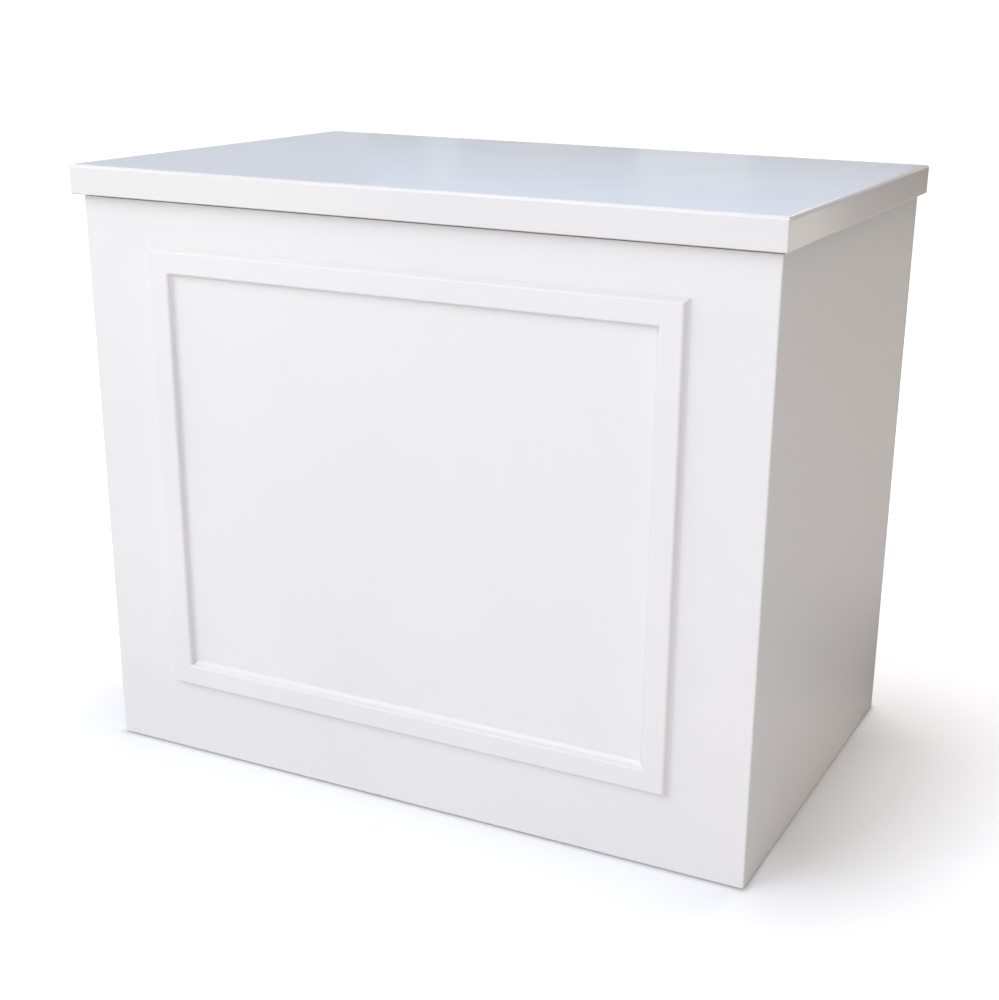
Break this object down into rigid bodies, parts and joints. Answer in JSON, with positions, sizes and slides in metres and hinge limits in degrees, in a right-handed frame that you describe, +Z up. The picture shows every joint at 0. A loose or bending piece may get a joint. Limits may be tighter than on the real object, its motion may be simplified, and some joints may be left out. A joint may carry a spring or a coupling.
{
  "type": "display plinth",
  "caption": "Rectangular display plinth: closed white box with a thick overhanging top and a mitred flat moulding frame on the front, levelled on screw feet.",
  "frame": {"origin": "on the floor, under the centre of the plinth", "axes": "+X along the width, +Z up, the front with the moulding faces -Y"},
  "size_m": [1.2, 0.778, 1.008],
  "materials": {
    "white_paint": "satin white lacquer on fibreboard",
    "top_gloss_paint": "gloss white lacquer on fibreboard",
    "softwood": "bare planed softwood",
    "zinc_steel": "bright zinc plate",
    "black_nylon": "matt black nylon"
  },
  "bodies": {
    "root": {"top_board": "top_gloss_paint", "lipping_front": "white_paint", "lipping_back": "white_paint", "lipping_left": "white_paint", "lipping_right": "white_paint", "panel_front": "white_paint", "panel_back": "white_paint", "panel_left": "white_paint", "panel_right": "white_paint", "moulding_top": "white_paint", "moulding_bottom": "white_paint", "moulding_left": "white_paint", "moulding_right": "white_paint", "post_front_left": "softwood", "post_front_right": "softwood", "post_back_left": "softwood", "post_back_right": "softwood", "top_rail_front": "softwood", "top_rail_back": "softwood", "top_rail_left": "softwood", "top_rail_right": "softwood", "foot_rail_front": "softwood", "foot_rail_back": "softwood", "foot_rail_left": "softwood", "foot_rail_right": "softwood", "cross_rail": "softwood", "thread_inserts": "zinc_steel", "post_screws_group": "zinc_steel", "rail_screws_group": "zinc_steel", "slab_screws_group": "zinc_steel", "cross_screws_group": "zinc_steel", "moulding_screws_group": "zinc_steel"},
    "pad_front_left": {"foot_pad_front_left": "black_nylon"},
    "stem_front_left": {"foot_stem_front_left": "zinc_steel"},
    "pad_front_right": {"foot_pad_front_right": "black_nylon"},
    "stem_front_right": {"foot_stem_front_right": "zinc_steel"},
    "pad_back_left": {"foot_pad_back_left": "black_nylon"},
    "stem_back_left": {"foot_stem_back_left": "zinc_steel"},
    "pad_back_right": {"foot_pad_back_right": "black_nylon"},
    "stem_back_right": {"foot_stem_back_right": "zinc_steel"}
  },
  "joints": [
    {"name": "foot_height_front_left", "type": "slide", "parent": "root", "child": "pad_front_left", "axis": [0, 0, -1], "range_m": [-0.003, 0.012]},
    {"name": "foot_turn_front_left", "type": "hinge", "parent": "pad_front_left", "child": "stem_front_left", "pos_m": [-0.552, -0.334, 0], "axis": [0, 0, -1], "range_deg": [-720, 2880]},
    {"name": "foot_height_front_right", "type": "slide", "parent": "root", "child": "pad_front_right", "axis": [0, 0, -1], "range_m": [-0.003, 0.012]},
    {"name": "foot_turn_front_right", "type": "hinge", "parent": "pad_front_right", "child": "stem_front_right", "pos_m": [0.552, -0.334, 0], "axis": [0, 0, -1], "range_deg": [-720, 2880]},
    {"name": "foot_height_back_left", "type": "slide", "parent": "root", "child": "pad_back_left", "axis": [0, 0, -1], "range_m": [-0.003, 0.012]},
    {"name": "foot_turn_back_left", "type": "hinge", "parent": "pad_back_left", "child": "stem_back_left", "pos_m": [-0.552, 0.334, 0], "axis": [0, 0, -1], "range_deg": [-720, 2880]},
    {"name": "foot_height_back_right", "type": "slide", "parent": "root", "child": "pad_back_right", "axis": [0, 0, -1], "range_m": [-0.003, 0.012]},
    {"name": "foot_turn_back_right", "type": "hinge", "parent": "pad_back_right", "child": "stem_back_right", "pos_m": [0.552, 0.334, 0], "axis": [0, 0, -1], "range_deg": [-720, 2880]}
  ],
  "couplings": [
    {"joint": "foot_turn_front_left", "follows": "foot_height_front_left", "rad_per_m": 4188.8},
    {"joint": "foot_turn_front_right", "follows": "foot_height_front_right", "rad_per_m": 4188.8},
    {"joint": "foot_turn_back_left", "follows": "foot_height_back_left", "rad_per_m": 4188.8},
    {"joint": "foot_turn_back_right", "follows": "foot_height_back_right", "rad_per_m": 4188.8}
  ]
}
